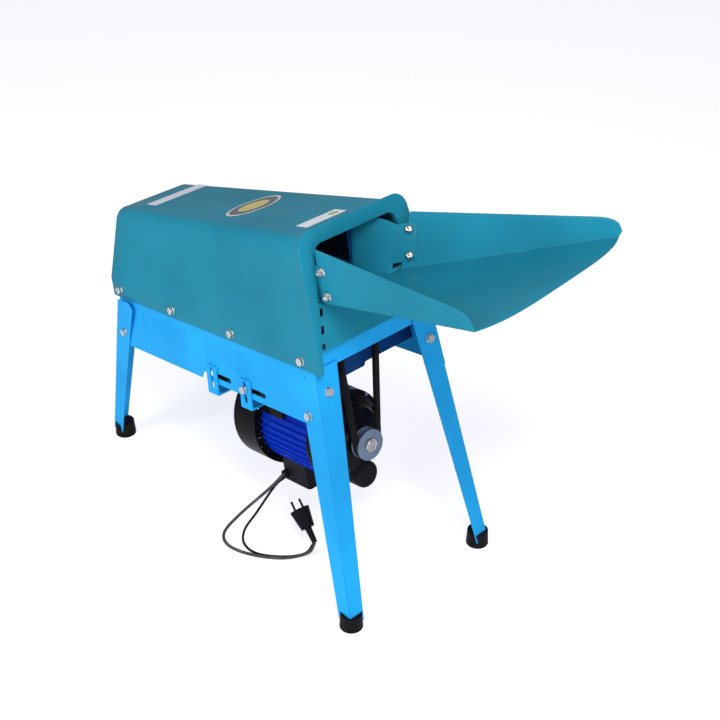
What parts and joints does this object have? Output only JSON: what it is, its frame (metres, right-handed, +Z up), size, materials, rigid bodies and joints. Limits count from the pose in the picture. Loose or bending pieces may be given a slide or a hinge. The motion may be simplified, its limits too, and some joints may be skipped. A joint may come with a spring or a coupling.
{
  "type": "maize sheller",
  "caption": "Small electric maize sheller: sheet-steel shelling box with feed chute on splayed legs, toothed drum inside, belt-driven by a motor hung underneath.",
  "frame": {"origin": "on the floor, under the middle of the whole machine's box", "axes": "+Z up, +X out of the feed end along the machine's length, +Y to the side the chute flares to"},
  "size_m": [0.961, 0.4938, 0.6971],
  "materials": {
    "teal_paint": "gloss powder coat",
    "blue_paint": "gloss powder coat",
    "motor_blue": "gloss enamel",
    "black_paint": "gloss enamel",
    "zinc": "bright zinc plate",
    "machined_steel": "turned",
    "pulley_grey": "turned grey iron",
    "cast_grey": "painted casting",
    "laminations": "dull",
    "drum_steel": "mill finish",
    "sheet_steel": "galvanised",
    "belt_rubber": "matt",
    "foot_rubber": "satin",
    "black_plastic": "fine texture",
    "cord_plastic": "satin",
    "fan_plastic": "satin",
    "label_white": "gloss film",
    "badge_yellow": "gloss film"
  },
  "bodies": {
    "frame": {"bearing_screws": "zinc", "chute_bolts": "zinc", "cob_outlet": "sheet_steel", "cover_bolts": "zinc", "feed_chute": "teal_paint", "feed_throat": "teal_paint", "front_bearing": "cast_grey", "front_bulkhead": "blue_paint", "front_end_rail": "blue_paint", "front_panel": "teal_paint", "hanger_bolts": "zinc", "leg_bolts": "zinc", "leg_front_far": "blue_paint", "leg_front_near": "blue_paint", "leg_rear_far": "blue_paint", "leg_rear_near": "blue_paint", "plug": "black_plastic", "power_cord": "cord_plastic", "rear_bearing": "cast_grey", "rear_bulkhead": "blue_paint", "rear_end_rail": "blue_paint", "roof_badge": "badge_yellow", "roof_labels": "label_white", "rubber_feet": "foot_rubber", "side_plate_far": "blue_paint", "side_plate_near": "blue_paint", "sieve": "sheet_steel", "top_cover": "teal_paint", "v_belt": "belt_rubber"},
    "drum": {"drum_shaft": "machined_steel", "drum_tube": "drum_steel", "drum_teeth": "drum_steel", "drum_pulley": "pulley_grey", "drum_pulley_nut": "zinc"},
    "motor_mount": {"motor_casing": "motor_blue", "motor_front_bell": "black_paint", "motor_rear_bell": "black_paint", "motor_cowl": "black_paint", "motor_stator": "laminations", "motor_bearings": "machined_steel", "terminal_box": "black_plastic", "capacitor": "black_plastic", "bell_screws": "zinc", "hanger_front_far": "blue_paint", "hanger_front_near": "blue_paint", "hanger_rear_far": "blue_paint", "hanger_rear_near": "blue_paint", "motor_foot_far": "black_paint", "motor_foot_near": "black_paint", "foot_bolts": "zinc", "cord_gland": "black_plastic"},
    "motor_rotor_body": {"motor_shaft": "machined_steel", "motor_rotor": "laminations", "motor_fan": "fan_plastic", "motor_pulley": "pulley_grey", "motor_pulley_nut": "zinc"}
  },
  "joints": [
    {"name": "drum_spin", "type": "hinge", "parent": "frame", "child": "drum", "pos_m": [-0.14722, -0.0502, 0.46091], "axis": [0.9819, 0, 0.1896], "continuous": true},
    {"name": "motor_tension", "type": "slide", "parent": "frame", "child": "motor_mount", "axis": [-0.1896, 0, 0.9819], "range_m": [-0.006, 0.006], "deforming": ["v_belt", "power_cord"]},
    {"name": "motor_spin", "type": "hinge", "parent": "motor_mount", "child": "motor_rotor_body", "pos_m": [0.02934, -0.0622, 0.23224], "axis": [0.9819, 0, 0.1896], "continuous": true}
  ],
  "couplings": [
    {"joint": "motor_spin", "follows": "drum_spin", "ratio": 1.9583}
  ]
}
